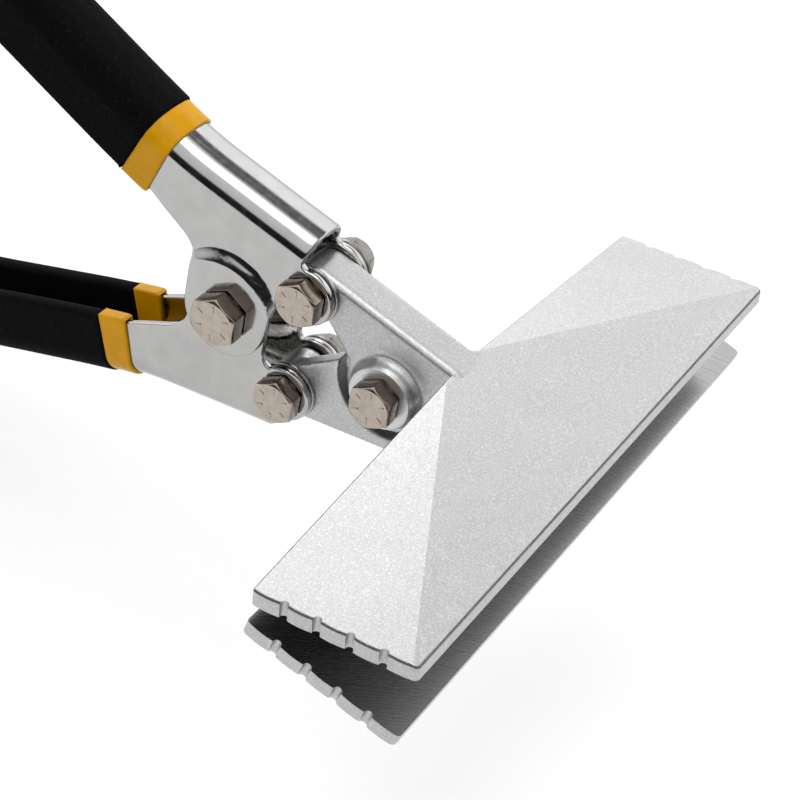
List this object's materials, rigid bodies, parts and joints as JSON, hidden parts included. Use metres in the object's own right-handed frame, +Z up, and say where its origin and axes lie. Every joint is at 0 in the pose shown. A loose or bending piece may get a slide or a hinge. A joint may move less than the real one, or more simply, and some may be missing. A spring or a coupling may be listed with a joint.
{
  "type": "sheet metal hand seamer",
  "caption": "Wide-jaw sheet metal hand seamer: two cast jaws closed by compound-leverage channel handles with dipped grips, for folding and flattening metal edges.",
  "frame": {"origin": "middle of the tool's box, on the line through the jaw pivot and the handle pivot", "axes": "+X forward to the bending edges, +Y along the pivots away from the bolt heads, +Z up through the upper jaw"},
  "size_m": [0.299, 0.2044, 0.1834],
  "materials": {
    "cast_metal": "fine sand-cast skin, ground inner faces",
    "chrome_plate": "bright chrome plate over pressed steel",
    "bolt_nickel": "warm nickel-plated bolt",
    "zinc_steel": "zinc plate",
    "plain_steel": "turned steel",
    "grip_foam": "fine-textured dipped grip",
    "collar_yellow": "smooth yellow dip"
  },
  "bodies": {
    "lower_jaw_body": {"lower_jaw": "cast_metal", "jaw_pivot_bolt": "bolt_nickel", "jaw_pivot_bush": "plain_steel", "jaw_pivot_nut": "zinc_steel", "jaw_pivot_washer": "zinc_steel"},
    "upper_jaw_body": {"upper_jaw": "cast_metal"},
    "upper_handle_body": {"upper_handle": "chrome_plate", "upper_grip": "grip_foam", "upper_grip_collar": "collar_yellow", "upper_link_bolt": "bolt_nickel", "upper_link_bush": "plain_steel", "upper_link_nut": "zinc_steel", "upper_link_washer": "zinc_steel", "upper_link_shim_near": "zinc_steel", "upper_link_shim_far": "zinc_steel", "handle_pivot_bolt": "bolt_nickel", "handle_pivot_spacer": "plain_steel", "handle_pivot_nut": "zinc_steel", "handle_pivot_washer": "zinc_steel"},
    "lower_handle_body": {"lower_handle": "chrome_plate", "lower_grip": "grip_foam", "lower_grip_collar": "collar_yellow", "lower_link_bolt": "bolt_nickel", "lower_link_bush": "plain_steel", "lower_link_nut": "zinc_steel", "lower_link_washer": "zinc_steel", "lower_link_shim_near": "zinc_steel", "lower_link_shim_far": "zinc_steel"}
  },
  "joints": [
    {"name": "jaw_pivot", "type": "hinge", "parent": "lower_jaw_body", "child": "upper_jaw_body", "pos_m": [0.0837, 0, 0], "axis": [0, 1, 0], "range_deg": [-7, 17.5]},
    {"name": "upper_link_pivot", "type": "hinge", "parent": "upper_jaw_body", "child": "upper_handle_body", "pos_m": [0.0541, 0, 0.0181], "axis": [0, 1, 0], "range_deg": [-21.5, 9]},
    {"name": "lower_link_pivot", "type": "hinge", "parent": "lower_jaw_body", "child": "lower_handle_body", "pos_m": [0.0541, 0, -0.0181], "axis": [0, 1, 0], "range_deg": [-9, 21.5]}
  ],
  "couplings": [
    {"joint": "upper_link_pivot", "follows": "jaw_pivot", "ratio": -1.186},
    {"joint": "lower_link_pivot", "follows": "jaw_pivot", "ratio": 1.186}
  ]
}
